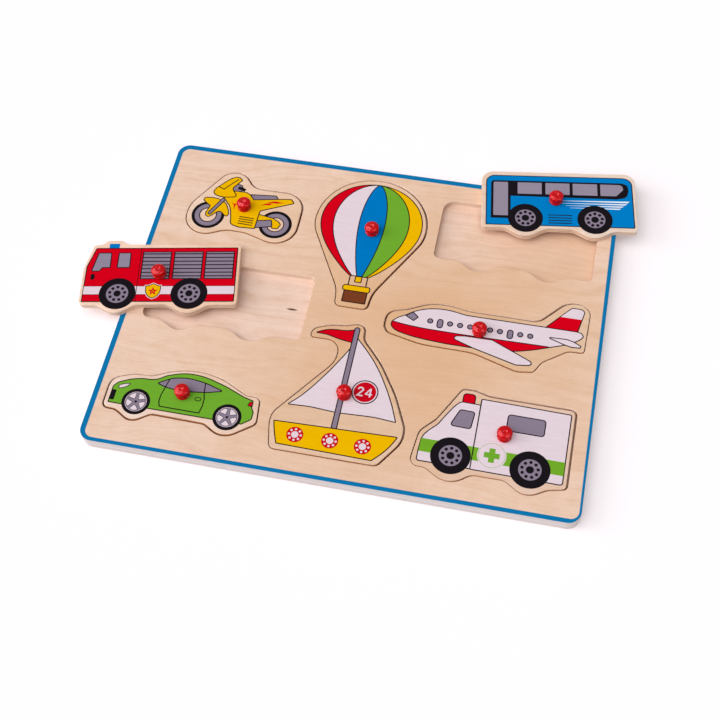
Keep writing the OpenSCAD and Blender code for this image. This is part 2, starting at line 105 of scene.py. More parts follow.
def birch_figure(tree, grain):
    """How strongly the streaks show over a sheet whose fibres run along grain's X."""
    # The knife peels the log nearly along its rings, so they run on in bands a few mm
    # wide that wander and close into arcs: their count rises across the sheet and sways
    across = put(tree, "ShaderNodeSeparateXYZ", {}, {"Vector": grain})
    ring_count = put(tree, "ShaderNodeMath", {"operation": "MULTIPLY"}, {
        0: across.outputs["Y"], 1: 1 / RING_WIDTH})
    ring_sway = put(tree, "ShaderNodeMath", {"operation": "MULTIPLY"}, {
        0: stretched(tree, grain, 120, 42, 2.0), 1: RING_SWAY})
    ring_at = put(tree, "ShaderNodeMath", {"operation": "ADD"}, {
        0: ring_count.outputs["Value"], 1: ring_sway.outputs["Value"]})
    rings = put(tree, "ShaderNodeTexNoise", {"noise_dimensions": "1D"}, {
        "W": ring_at.outputs["Value"], "Scale": 1.0, "Detail": 2.5, "Roughness": 0.55})
    # Rings, mottle, fibre lines and flecks. Each starts where its noise passes one value,
    # is full from another on, and then adds its share. Flecks are 0.1 mm wide on the real
    # wood and drawn 0.35 mm wide so that they show
    figure = 0.0
    for noise, start, full, most in (
            (rings.outputs["Fac"], 0.40, 0.72, 0.26),
            (stretched(tree, grain, 11, 6, 3.0, 0.6), 0.40, 0.70, 0.24),
            (stretched(tree, grain, 30, 0.9, 4.0, 0.6), 0.40, 0.75, 0.20),
            (stretched(tree, grain, 4.0, 0.35, 1.0), 0.58, 0.74, 0.26)):
        part = put(tree, "ShaderNodeMapRange", {}, {
            "Value": noise, "From Min": start, "From Max": full,
            "To Min": 0.0, "To Max": most})
        total = put(tree, "ShaderNodeMath", {"operation": "ADD"}, {
            0: figure, 1: part.outputs["Result"]})
        figure = total.outputs["Value"]
    return figure


def birch_face(tree, place, grain, figure, face, streak, heart_at):
    """The colour of a sheet's faces, warmer where it was peeled near the log's heart."""
    from_heart = put(tree, "ShaderNodeVectorMath", {"operation": "DISTANCE"}, {
        0: place, 1: (*heart_at, TRAY_TOP)})
    heart_sway = put(tree, "ShaderNodeMath", {"operation": "MULTIPLY_ADD"}, {
        0: stretched(tree, grain, 70, 40, 2.0), 1: HEART_SWAY, 2: from_heart.outputs["Value"]})
    heart = put(tree, "ShaderNodeMapRange", {}, {
        "Value": heart_sway.outputs["Value"],
        "From Min": HEART_REACH[0], "From Max": HEART_REACH[1], "To Min": 1.0, "To Max": 0.0})
    ground = put(tree, "ShaderNodeMix", {"data_type": "RGBA"}, {
        "Factor": heart.outputs["Result"], "A": linear(face), "B": linear(HEARTWOOD)})
    streaked = put(tree, "ShaderNodeMix", {"data_type": "RGBA"}, {
        "Factor": figure, "A": ground.outputs["Result"], "B": linear(streak)})
    return streaked.outputs["Result"]


def pin_knot(tree, place, wood, knot_at):
    """The wood with a small dark knot in it, drawn out along the grain."""
    from_knot = put(tree, "ShaderNodeMapping", {"vector_type": "TEXTURE"}, {
        "Vector": place, "Location": (*knot_at, SHEET),
        "Scale": (*KNOT_HALF, SHEET)})
    off_knot = put(tree, "ShaderNodeVectorMath", {"operation": "LENGTH"}, {
        0: from_knot.outputs["Vector"]})
    knot = put(tree, "ShaderNodeMapRange", {}, {
        "Value": off_knot.outputs["Value"], "From Min": 0.55, "From Max": 1.2,
        "To Min": 0.95, "To Max": 0.0})
    knotted = put(tree, "ShaderNodeMix", {"data_type": "RGBA"}, {
        "Factor": knot.outputs["Result"], "A": wood, "B": linear(KNOT_BROWN)})
    return knotted.outputs["Result"]


def ply_bands(tree, place):
    """Over the height of an edge: how much of it is middle ply, and how much glue line."""
    height = put(tree, "ShaderNodeSeparateXYZ", {}, {"Vector": place})
    sheets = put(tree, "ShaderNodeMath", {"operation": "DIVIDE"}, {
        0: height.outputs["Z"], 1: SHEET})
    within = put(tree, "ShaderNodeMath", {"operation": "FRACT"}, {0: sheets.outputs["Value"]})
    off_middle = put(tree, "ShaderNodeMath", {"operation": "SUBTRACT"}, {
        0: within.outputs["Value"], 1: 0.5})
    from_middle = put(tree, "ShaderNodeMath", {"operation": "ABSOLUTE"}, {
        0: off_middle.outputs["Value"]})
    # The three plies are equal, so the middle one ends a sixth of a sheet from its middle
    core = put(tree, "ShaderNodeMapRange", {}, {
        "Value": from_middle.outputs["Value"], "From Min": 0.15, "From Max": 0.19,
        "To Min": 1.0, "To Max": 0.0})
    from_line = put(tree, "ShaderNodeMath", {"operation": "SUBTRACT"}, {
        0: from_middle.outputs["Value"], 1: 1 / 6})
    off_line = put(tree, "ShaderNodeMath", {"operation": "ABSOLUTE"}, {
        0: from_line.outputs["Value"]})
    # A glue line is 0.1 mm thick, and drawn 0.4 mm thick so that it shows
    glue = put(tree, "ShaderNodeMapRange", {}, {
        "Value": off_line.outputs["Value"], "From Min": 0.03, "From Max": 0.06,
        "To Min": 1.0, "To Max": 0.0})
    return core.outputs["Result"], glue.outputs["Result"]


def ply_edge(tree, core, glue, facing_x, edge):
    """The colour of an edge, browned with painted gap shade by how squarely it faces along X."""
    outer, middle, line, shade_share = edge
    plies = put(tree, "ShaderNodeMix", {"data_type": "RGBA"}, {
        "Factor": core, "A": linear(outer), "B": linear(middle)})
    glued = put(tree, "ShaderNodeMix", {"data_type": "RGBA"}, {
        "Factor": glue, "A": plies.outputs["Result"], "B": linear(line)})
    shade_amount = put(tree, "ShaderNodeMapRange", {}, {
        "Value": facing_x, "From Min": 0.4, "From Max": 1.0, "To Min": 0.0, "To Max": shade_share})
    gap_shaded = put(tree, "ShaderNodeMix", {"data_type": "RGBA"}, {
        "Factor": shade_amount.outputs["Result"],
        "A": glued.outputs["Result"], "B": linear(GAP_SHADE_BROWN)})
    return gap_shaded.outputs["Result"]


def near_side(tree, place):
    """1 on the edges that run round the tray, and 0 on those of its openings."""
    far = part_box("frame_board")[1]
    reach = put(tree, "ShaderNodeVectorMath", {"operation": "ABSOLUTE"}, {0: place})
    along = put(tree, "ShaderNodeSeparateXYZ", {}, {"Vector": reach.outputs["Vector"]})
    past_x = put(tree, "ShaderNodeMath", {"operation": "GREATER_THAN"}, {
        0: along.outputs["X"], 1: far.x - OUTSIDE_REACH})
    past_y = put(tree, "ShaderNodeMath", {"operation": "GREATER_THAN"}, {
        0: along.outputs["Y"], 1: far.y - OUTSIDE_REACH})
    past = put(tree, "ShaderNodeMath", {"operation": "MAXIMUM"}, {
        0: past_x.outputs["Value"], 1: past_y.outputs["Value"]})
    return past.outputs["Value"]


def lacquered_birch(name, face, streak, edge, shift, grain_turn=0.0, heart_at=(0.0, 0.0),
                    outside=None, knot_at=None):
    """Birch plywood: pale rotary-cut faces with soft wavy figure, and three plies on the edges.

    The lacquer is thin, so the wood stays satin and its fine flecks still show. Shift says
    which part of the sheet the piece is sawn from, in m, and grain_turn which way its fibres
    run. Outside is the look of the edges that run round the tray, where they differ from
    those of its openings.
    """
    material, tree, shader = blank_material(name)
    at = put(tree, "ShaderNodeTexCoord", {}, {})
    place = at.outputs["Object"]
    turned = put(tree, "ShaderNodeMapping", {}, {
        "Vector": place, "Location": (*shift, 0.0), "Rotation": (0.0, 0.0, -grain_turn)})
    grain = turned.outputs["Vector"]
    figure = birch_figure(tree, grain)
    wood = birch_face(tree, place, grain, figure, face, streak, heart_at)
    if knot_at:
        wood = pin_knot(tree, place, wood, knot_at)

    facing = put(tree, "ShaderNodeSeparateXYZ", {}, {"Vector": at.outputs["Normal"]})
    # How squarely each edge faces along X: there it takes painted gap shade
    facing_x = put(tree, "ShaderNodeMath", {"operation": "ABSOLUTE"}, {0: facing.outputs["X"]})
    core, glue = ply_bands(tree, place)
    side = ply_edge(tree, core, glue, facing_x.outputs["Value"], edge)
    if outside:
        both_sides = put(tree, "ShaderNodeMix", {"data_type": "RGBA"}, {
            "Factor": near_side(tree, place),
            "A": side, "B": ply_edge(tree, core, glue, facing_x.outputs["Value"], outside)})
        side = both_sides.outputs["Result"]

    upright = put(tree, "ShaderNodeMath", {"operation": "ABSOLUTE"}, {0: facing.outputs["Z"]})
    is_face = put(tree, "ShaderNodeMapRange", {}, {
        "Value": upright.outputs["Value"], "From Min": 0.25, "From Max": 0.6})
    colour = put(tree, "ShaderNodeMix", {"data_type": "RGBA"}, {
        "Factor": is_face.outputs["Result"], "A": side, "B": wood})
    bump = put(tree, "ShaderNodeBump", {}, {
        "Height": figure, "Strength": 0.15, "Distance": 0.05 * MM})
    tree.links.new(colour.outputs["Result"], shader.inputs["Base Color"])
    tree.links.new(bump.outputs["Normal"], shader.inputs["Normal"])
    shader.inputs["Roughness"].default_value = 0.45
    shader.inputs["IOR"].default_value = 1.5
    shader.inputs["Specular IOR Level"].default_value = 0.12
    return material


def dress(node, material):
    """Gives a carried-over piece its material."""
    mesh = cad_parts[node].data
    mesh.materials.clear()
    mesh.materials.append(material)


dress("base_board", lacquered_birch(
    "birch_base", face="#F2D5C6", streak="#D9AE8E", edge=SANDED_EDGE, shift=(0.2, 0.1),
    heart_at=(0.13, 0.0), knot_at=(-0.0448, -0.0006)))


# Frame sheet of the tray. The same birch plywood, with eight openings routed through it
# and their upper edges eased by sanding, glued onto the base with its grain lengthways.
# The openings' walls are painted near white, lighter than the wood: painted light where the front
# light falls on them. Down in the gaps round the boards they also take painted shade where they face
# along X.
LIGHTENED_WALL_EDGE = ("#F9E5D5", "#F5DCCA", "#D8B192", 0.45)
dress("frame_board", lacquered_birch(
    "birch_frame", face="#F2D3C0", streak="#D9AC86", edge=LIGHTENED_WALL_EDGE, shift=(0.0, 0.0),
    grain_turn=math.radians(2.0), heart_at=(0.045, -0.01), outside=SANDED_EDGE))


# Printed border. Blue screen-printing ink, a 3 mm band that runs round the frame's upper
# face and over its eased edge. The screen lay a little askew, so the band's inner edge is
# moved by a different amount at each corner. The drawn sizes of all prints are in mm.
BORDER = 3.0
TRAY_CORNER = 8.0
TRAY_EASE = 0.3
BORDER_BENDS = (0, 25, 50, 70)
ASKEW = {(-1, 1): (0.4, -0.6), (1, 1): (0.1, -0.5), (-1, -1): (0.4, -0.7), (1, -1): (1.7, -0.3)}
# Ink films lie one level over another and reach a little into the wood, so that no two
# faces lie in one plane
INK_LEVEL = 0.015 * MM
INK_ROOT = 0.01 * MM
# The radius of a printed corner that has none of its own, and how far a facet of a rounded
# corner may lie off its true arc
CRISP = 0.3
ARC_ERROR = 0.02
INKS = {"border": "#0D76AD"}
ink_materials = {}


def printed_ink(colour):
    """Screen-printing ink: opaque and satin, with the wood's grain just felt through it."""
    if colour in ink_materials:
        return ink_materials[colour]
    material, tree, shader = blank_material("ink_" + colour)
    place = put(tree, "ShaderNodeTexCoord", {}, {})
    grain_at = put(tree, "ShaderNodeMapping", {}, {
        "Vector": place.outputs["Object"],
        "Scale": (1 / (9 * MM), 1 / (0.7 * MM), 1 / (4 * MM))})
    grain = put(tree, "ShaderNodeTexNoise", {}, {
        "Vector": grain_at.outputs["Vector"], "Scale": 1.0, "Detail": 3.0})
    cover = put(tree, "ShaderNodeMapRange", {}, {
        "Value": grain.outputs["Fac"], "From Min": 0.3, "From Max": 0.75,
        "To Min": 1.04, "To Max": 0.95})
    tint = put(tree, "ShaderNodeMix", {"data_type": "RGBA", "blend_type": "MULTIPLY"}, {
        "Factor": 1.0, "A": linear(INKS[colour]), "B": cover.outputs["Result"]})
    bump = put(tree, "ShaderNodeBump", {}, {
        "Height": grain.outputs["Fac"], "Strength": 0.1, "Distance": 0.04 * MM})
    tree.links.new(tint.outputs["Result"], shader.inputs["Base Color"])
    tree.links.new(bump.outputs["Normal"], shader.inputs["Normal"])
    shader.inputs["Roughness"].default_value = 0.5
    shader.inputs["IOR"].default_value = 1.49
    shader.inputs["Specular IOR Level"].default_value = 0.005
    ink_materials[colour] = material
    return material


def cross(a, b):
    return a.x * b.y - a.y * b.x


def rounded(corners, grow=0.0):
    """An outline in mm through corners (x, y) or (x, y, radius), grown outwards by grow."""
    area = sum(corners[i - 1][0] * corners[i][1] - corners[i - 1][1] * corners[i][0]
               for i in range(len(corners)))
    corners = corners if area > 0 else corners[::-1]
    spots = [Vector(c[:2]) for c in corners]
    wanted = [c[2] if len(c) > 2 else CRISP for c in corners]
    count = len(spots)
    runs = [spots[(i + 1) % count] - spots[i] for i in range(count)]
    ways = [run.normalized() for run in runs]
    turns = [math.atan2(cross(ways[i - 1], ways[i]), ways[i - 1].dot(ways[i]))
             for i in range(count)]
    reach = [wanted[i] * math.tan(abs(turns[i]) / 2) for i in range(count)]
    points = []
    for i in range(count):
        before, after = runs[i - 1].length, runs[i].length
        room = min(before - min(before / 2, reach[i - 1]),
                   after - min(after / 2, reach[(i + 1) % count]))
        slope = math.tan(abs(turns[i]) / 2)
        radius = min(wanted[i], room / slope) if slope > 1e-6 else wanted[i]
        side = 1 if turns[i] > 0 else -1
        out_before = Vector((ways[i - 1].y, -ways[i - 1].x))
        out_after = Vector((ways[i].y, -ways[i].x))
        if radius + side * grow <= 0:
            points.append(spots[i] + grow * (out_before + out_after)
                          / (1 + out_before.dot(out_after)))
            continue
        centre = spots[i] - ways[i - 1] * radius * slope - out_before * side * radius
        step = 2 * math.acos(max(0.5, 1 - ARC_ERROR / radius))
        pieces = max(1, math.ceil(abs(turns[i]) / step))
        start = math.atan2(out_before.y, out_before.x)
        for k in range(pieces + 1):
            a = start + turns[i] * k / pieces
            points.append(centre + side * (radius + side * grow)
                          * Vector((math.cos(a), math.sin(a))))
    return points


def inked(name, body, inks, verts, faces):
    """A printed piece that rides on a body."""
    mesh = bpy.data.meshes.new(name)
    mesh.from_pydata(verts, [], faces)
    for ink in inks:
        mesh.materials.append(printed_ink(ink))
    mesh.update()
    piece = bpy.data.objects.new(name, mesh)
    bpy.context.scene.collection.objects.link(piece)
    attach(piece, body)
    return piece


def askew(point, half):
    """Where a point of the band's inner edge was printed."""
    moved = point.copy()
    for (x, y), shift in ASKEW.items():
        moved += Vector(shift) * (1 + x * point.x / half.x) * (1 + y * point.y / half.y) / 4
    return moved


def border_band():
    """Rings of the band: its inner edge, the flat up to the easing, and the eased edge."""
    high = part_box("frame_board")[1]
    half = Vector((high.x, high.y)) / MM
    box = [(x * half.x, y * half.y, TRAY_CORNER)
           for x, y in ((-1, -1), (1, -1), (1, 1), (-1, 1))]
    film = 2 * INK_LEVEL / MM
    top = high.z / MM
    rings = [(-BORDER, top - INK_ROOT / MM), (-BORDER, top + film)]
    outer, inner = TRAY_EASE + film, TRAY_EASE - INK_ROOT / MM
    bends = [(outer, angle) for angle in BORDER_BENDS]
    bends += [(inner, angle) for angle in BORDER_BENDS[::-1]]
    for radius, angle in bends:
        a = math.radians(angle)
        rings.append((-TRAY_EASE + radius * math.sin(a), top - TRAY_EASE + radius * math.cos(a)))
    verts, faces = [], []
    count = len(rounded(box))
    for grow, level in rings:
        loop = rounded(box, grow)
        if grow == -BORDER:
            loop = [askew(p, half) for p in loop]
        verts += [(p.x * MM, p.y * MM, level * MM) for p in loop]
    for k in range(len(rings)):
        lower, upper = k * count, (k + 1) % len(rings) * count
        for i in range(count):
            j = (i + 1) % count
            faces.append((lower + i, lower + j, upper + j, upper + i))
    return verts, faces


verts, faces = border_band()
inked("printed_border", "tray", ["border"], verts, faces)


# Motorcycle board. Birch plywood sawn round the picture, its edges eased, printed in
# yellow and grey. The picture is drawn in mm on the tray, with its knob where it stands.
# The seated boards' edges are painted browner than their faces, as painted shade: they show only down
# in the narrow gaps round them.
INKS.update(yellow="#F0B800", grey="#8B7E90", red="#D6001A", black="#1A161B", line="#1E1218")
LINE = 0.68
GAP_SHADED_EDGE = ("#DEA373", "#D29767", "#AA7348", 0.75)


def disc(x, y, radius, sides=48):
    """A circle as an outline."""
    return [Vector((x + radius * math.cos(2 * math.pi * k / sides),
                    y + radius * math.sin(2 * math.pi * k / sides))) for k in range(sides)]


def ring(level, ink, x, y, outer, inner):
    """A printed ring; level is its place in the pile of inks, and the highest shows."""
    return [(level, ink, [disc(x, y, outer), disc(x, y, inner)])]


def plain(level, ink, corners):
    """A printed shape with no line round it."""
    return [(level, ink, [rounded(corners)])]


def outlined(level, ink, corners, line=LINE):
    """A printed shape with a thin dark line round it: the line's ink lies below the colour."""
    return [(level, "line", [rounded(corners, line / 2)]),
            (level + 1, ink, [rounded(corners, -line / 2)])]


def bar(a, b, width, end=CRISP):
    """Corners of a straight bar from a to b."""
    along = (Vector(b) - Vector(a)).normalized() * width / 2
    side = Vector((along.y, -along.x))
    return [(*(Vector(p) + s), end) for p, s in ((a, side), (b, side), (b, -side), (a, -side))]


def stroke(level, ink, points, width=LINE):
    """A printed line through points, with mitred bends."""
    spots = [Vector(p) for p in points]
    ways = [(spots[i + 1] - spots[i]).normalized() for i in range(len(spots) - 1)]
    sides = []
    for i, p in enumerate(spots):
        before, after = ways[max(0, i - 1)], ways[min(len(ways) - 1, i)]
        out = Vector((before.y + after.y, -before.x - after.x))
        sides.append(out * width / (1 + before.dot(after)) / 2)
    left = [p + s for p, s in zip(spots, sides)]
    right = [p - s for p, s in zip(spots, sides)]
    return [(level, ink, [left + right[::-1]])]


def turned_left(points):
    """The points, running anticlockwise."""
    area = sum(cross(points[i - 1], points[i]) for i in range(len(points)))
    return points if area > 0 else points[::-1]


def solid_from(loops, low, high, verts, faces):
    """Adds a flat closed solid to verts and faces; the first loop is outer, the others holes."""
    loops = [turned_left(loops[0])] + [turned_left(hole)[::-1] for hole in loops[1:]]
    flat = [p for loop in loops for p in loop]
    first, count = len(verts), len(flat)
    verts += [(p.x * MM, p.y * MM, low) for p in flat]
    verts += [(p.x * MM, p.y * MM, high) for p in flat]
    for a, b, c in tessellate_polygon([[p.to_3d() for p in loop] for loop in loops]):
        if cross(flat[b] - flat[a], flat[c] - flat[a]) < 0:
            b, c = c, b
        faces.append((first + count + a, first + count + b, first + count + c))
        faces.append((first + a, first + c, first + b))
    start = first
    for loop in loops:
        size = len(loop)
        for i in range(size):
            j = (i + 1) % size
            faces.append((start + i, start + j, start + count + j, start + count + i))
        start += size


def printed(vehicle, knob, turn, layers):
    """Prints layers on a board; knob is where its knob stands in the drawing."""
    low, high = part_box(vehicle + "_knob")
    now = Vector(((low.x + high.x) / 2, (low.y + high.y) / 2)) / MM
    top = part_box(vehicle + "_board")[1].z
    spin = Matrix.Rotation(turn, 2)
    verts, faces, inks, shares = [], [], [], []
    for level, ink, loops in sorted(layers, key=lambda layer: layer[0]):
        moved = [[spin @ (p - Vector(knob)) + now for p in loop] for loop in loops]
        solid_from(moved, top - INK_ROOT, top + (level + 1) * INK_LEVEL, verts, faces)
        if ink not in inks:
            inks.append(ink)
        shares += [inks.index(ink)] * (len(faces) - len(shares))
    piece = inked(vehicle + "_print", vehicle, inks, verts, faces)
    piece.data.polygons.foreach_set("material_index", shares)


TYRE = 11.0
TREAD = 2.1
HUB_HOLE = 5.6
VENTS = (61.7, 59.9, 58.1, 56.2)
motorcycle = []
for x, y in ((-115.8, 59.5), (-69.8, 59.2)):
    motorcycle += ring(0, "black", x, y, TYRE, TYRE - TREAD)
    motorcycle += ring(0, "grey", x, y, TYRE - TREAD, HUB_HOLE + LINE / 2)
    motorcycle += ring(0, "line", x, y, HUB_HOLE + LINE / 2, HUB_HOLE - LINE / 2)
motorcycle += outlined(1, "yellow", [
    (-121.9, 71.1), (-121.1, 73.2, 1), (-116.4, 73.9, 3), (-111.8, 73.5, 5), (-106.4, 70.8, 6),
    (-103.7, 66.1, 6), (-102.4, 62.2, 2), (-103.1, 60.6, 0.8), (-104.6, 60.5, 1),
    (-108.1, 63.6, 2), (-110.2, 63.2, 2), (-113.7, 59.1, 3), (-115.5, 57.9, 1.2),
    (-117.4, 59, 1.2), (-117.8, 61.4, 2), (-116.2, 67, 1), (-119.9, 69.4, 2)])
motorcycle += outlined(3, "grey", bar((-108.2, 74.6), (-115.6, 60.2), 2.3, 1.0))
motorcycle += outlined(1, "yellow", [
    (-83, 65.7), (-72.2, 63.9, 1), (-68.1, 61.7, 1), (-66.4, 59.7, 0.8), (-67.8, 56.2, 0.8),
    (-71.4, 56, 0.5), (-73.5, 60.5, 0.5), (-83, 60.4)])
motorcycle += outlined(3, "grey", [
    (-82.6, 60.3), (-73.2, 62.5, 0.6), (-71.6, 57.3, 0.6), (-82.6, 54.6)])
motorcycle += outlined(5, "yellow", [
    (-102.8, 81.7), (-94.9, 81.8, 1), (-91.9, 80.2, 1), (-88.7, 76.7, 1), (-72.8, 79.8),
    (-64.1, 81.3, 0.4), (-61.4, 78.3, 0.6), (-69.3, 74.6, 4), (-79.9, 69.6, 4),
    (-82.2, 68.5, 0.6), (-82.5, 65.5), (-82.6, 53.8), (-92.8, 53.1, 2), (-97.5, 54, 3),
    (-99.4, 55.4, 1.2), (-100.5, 60.8, 8), (-101.9, 65.5, 8), (-103.6, 69.3, 8),
    (-107.4, 73.4, 3), (-109.4, 75.8)])
motorcycle += outlined(7, "grey", [
    (-91.9, 80.5), (-74.6, 82.4, 1), (-72.6, 79.8), (-88.7, 76.6, 1)])
motorcycle += outlined(3, "grey", [
    (-102.8, 87.8, 0.4), (-99.3, 87, 0.8), (-98.2, 84.9, 0.6), (-98.4, 81.5), (-105, 81.5),
    (-105, 84)])
motorcycle += stroke(5, "black", [(-101.4, 84.9), (-96.2, 83.4)], 2.4)
motorcycle += outlined(7, "yellow", [
    (-116.9, 79.6, 0.6), (-115.8, 82.2, 2), (-110.4, 88.9, 20), (-107.5, 91.8, 3),
    (-104.8, 93.3, 1), (-102.4, 93.2, 0.6), (-100.2, 91.4, 0.5), (-102.8, 87.3, 2),
    (-105.2, 83.5, 2), (-101.2, 78.3, 0.6), (-101.8, 76.8, 0.5), (-108.7, 75.4, 6),
    (-112.2, 75.6, 4), (-115.4, 76.6, 2), (-116.7, 78.1, 0.8)])
motorcycle += stroke(9, "line", [(-102.8, 91.6), (-106.4, 87.4), (-110.6, 81.9), (-114.4, 83.4)])
for y in VENTS:
    motorcycle += stroke(7, "line", [(-94.8, y), (-84.8, y - 0.3)])
for flash in (
        [(-83.4, 72.7), (-80, 75), (-75.4, 76), (-77.4, 73.9), (-79.6, 73.9)],
        [(-80.4, 75.6), (-74.6, 77.8), (-67.6, 77.4), (-73, 76.2), (-76.6, 76.2)],
        [(-103.5, 72.3), (-101.2, 71.2), (-98.4, 71.9), (-99.7, 70.4), (-100, 66), (-100.8, 70.2)]):
    motorcycle += plain(7, "red", [(*corner, 0.1) for corner in flash])
printed("motorcycle", (-93.4, 69.6), 0.0, motorcycle)
dress("motorcycle_board", lacquered_birch(
    "birch_motorcycle", face="#F6D8C4", streak="#D9AF8A", edge=GAP_SHADED_EDGE, shift=(0.03, 0.47)))


# Balloon board. The same plywood, printed with a hot-air balloon of five gores over a
# wicker basket. Each seam is an ellipse above the widest line and draws in below it.
INKS.update(white="#E6D4DD", blue="#0078C2", green="#70AB30", brown="#783E23")
# The corner radius, in mm, that makes a flowing line of an outline's points
ROUND = 60.0
GORES = (
    ("red", -1.0, -0.75), ("white", -0.75, -0.24), ("blue", -0.24, 0.27),
    ("green", 0.27, 0.74), ("yellow", 0.74, 1.0))
ENVELOPE_TOP = 102.9
ENVELOPE_WIDEST = 71.5
ENVELOPE_FOOT = 28.6
ENVELOPE_HALF = 33.4
FOOT_HALF = 6.2
ENVELOPE_MIDDLE = (-7.7, -7.1)
SEAM_STEPS = 28
SEAM_LEAN = 0.3
SEAM_DRAW = 0.9


def seam(share):
    """One seam from the top down, at a share of the envelope's half width."""
    points = []
    for k in range(SEAM_STEPS + 1):
        a = math.pi * k / SEAM_STEPS
        if a <= math.pi / 2:
            half = ENVELOPE_HALF * math.sin(a) ** (1 + SEAM_LEAN * (1 - abs(share)))
            y = ENVELOPE_WIDEST + (ENVELOPE_TOP - ENVELOPE_WIDEST) * math.cos(a)
        else:
            down = 2 * a / math.pi - 1
            half = FOOT_HALF + (ENVELOPE_HALF - FOOT_HALF) * math.cos(down * math.pi / 2) ** SEAM_DRAW
            y = ENVELOPE_WIDEST + (ENVELOPE_FOOT - ENVELOPE_WIDEST) * down
        fall = (ENVELOPE_TOP - y) / (ENVELOPE_TOP - ENVELOPE_FOOT)
        middle = ENVELOPE_MIDDLE[0] + (ENVELOPE_MIDDLE[1] - ENVELOPE_MIDDLE[0]) * fall
        points.append((middle + share * half, y))
    return points


balloon = []
for ink, left, right in GORES:
    balloon += plain(0, ink, [(*p, ROUND) for p in seam(left) + seam(right)[:0:-1]])
for share in sorted({share for gore in GORES for share in gore[1:]}):
    balloon += stroke(1, "line", seam(share))
balloon += stroke(1, "line", [seam(-1)[-1], seam(1)[-1]])
for x in (-12.7, -1.3):
    balloon += stroke(0, "line", [(x, 21), (x, ENVELOPE_FOOT)], 0.8)
balloon += outlined(1, "yellow", [(-9.1, 24.1), (-5, 24.1), (-5, 28.4), (-9.1, 28.4)])
balloon += outlined(0, "brown", [(-14.3, 8.6), (0.6, 8.6), (0.6, 17.6), (-14.3, 17.6)])
balloon += outlined(2, "yellow", [
    (-15.7, 17.1, 1.6), (1.8, 17.1, 1.6), (1.8, 21.2, 1.6), (-15.7, 21.2, 1.6)])
printed("balloon", (-5.8, 64.6), 0.0, balloon)
dress("balloon_board", lacquered_birch(
    "birch_balloon", face="#F4D4C0", streak="#D9AE86", edge=GAP_SHADED_EDGE, shift=(0.31, 0.12),
    grain_turn=math.radians(90)))


# Bus board. The same plywood, lying loose across its recess and the tray's back corner.
# It is drawn level, with its wheels on one line, and turned as it lies on the tray.
INKS.update(bus_blue="#007DC6", glass="#968B9D", bus_white="#E9EEF2")
BUS_TURN = math.radians(7.9)
LOOSE_EDGE = ("#FCE3D0", "#F8DBC7", "#A07852", 0.0)
WHEEL_DOTS = 9


def spot(level, ink, x, y, radius, sides=48):
    """A printed disc."""
    return [(level, ink, [disc(x, y, radius, sides)])]


def lorry_wheel(level, x, y, tyre, rim, dots_at, dot, hub):
    """A printed tyre with a grey rim, a ring of dark bolt holes and a dark hub."""
    layers = spot(level, "black", x, y, tyre, 64)
    layers += spot(level + 1, "grey", x, y, rim)
    layers += spot(level + 2, "black", x, y, hub, 32)
    for k in range(WHEEL_DOTS):
        a = 2 * math.pi * k / WHEEL_DOTS + math.pi / 2
        layers += spot(level + 2, "black",
                       x + dots_at * math.cos(a), y + dots_at * math.sin(a), dot, 20)
    return layers


BUS_SIDE = -25.0
BUS_BACK = 69.9
# Each stripe: where it starts as a hair line and where its slanted tip ends, along the bus,
# and the heights of the tip's two corners
STRIPE_HAIR = 0.08
STRIPE_SLANT = 1.6
STRIPES = ((22, 68.2, 13.7, 15.1), (23.1, 66.5, 11.8, 12.9), (26.7, 64.3, 10, 11),
           (29.3, 62.5, 8.2, 9.2))
BUS_VENTS = (2.5, 0.3, -1.8, -3.9)
bus = outlined(0, "bus_blue", [
    (BUS_SIDE, -6.2), (BUS_BACK + 0.5, -6.2), (BUS_BACK, 34, 6), (BUS_SIDE, 34, 5.5)])
bus += plain(2, "black", [
    (-22, -1), (-9.2, -1), (-9.2, 17.3, 0.6), (60, 16.6, 6), (66.4, 18.2, 4),
    (67.8, 24, 6), (67, 28.6, 3), (63, 29.9, 3), (-22, 29.9, 2.4)])
bus += plain(3, "glass", [(-20.4, 1.2), (-10.9, 1.2), (-10.9, 28.6), (-20.4, 28.6, 1)])
for left, right in ((-4.6, 11.2), (13.6, 29.4), (31.4, 47.4)):
    bus += plain(3, "glass", [(left, 19.2), (right, 19.2), (right, 28.6), (left, 28.6)])
bus += plain(3, "glass", [
    (49.4, 19.2), (59.6, 19.2, 1.5), (64.4, 24.6, 1.5), (63.5, 28.5, 2.5), (49.4, 28.6)])
for start, tip, low, high in STRIPES:
    middle = (low + high) / 2
    bus += plain(2, "bus_white", [
        (start, middle - STRIPE_HAIR, 0.05), (tip - STRIPE_SLANT, low, 0.1), (tip, high, 0.1),
        (start, middle + STRIPE_HAIR, 0.05)])
for y in BUS_VENTS:
    bus += stroke(2, "line", [(15.2, y), (30.4, y)], 0.7)
for x in (0.4, 45.2):
    bus += lorry_wheel(4, x, -0.4, tyre=11.3, rim=6.65, dots_at=4.75, dot=1.1, hub=2.45)
printed("bus", (20.2, 14.2), BUS_TURN, bus)
dress("bus_board", lacquered_birch(
    "birch_bus", face="#EFDACE", streak="#D9AF8A", edge=LOOSE_EDGE, shift=(0.11, 0.33),
    grain_turn=BUS_TURN))


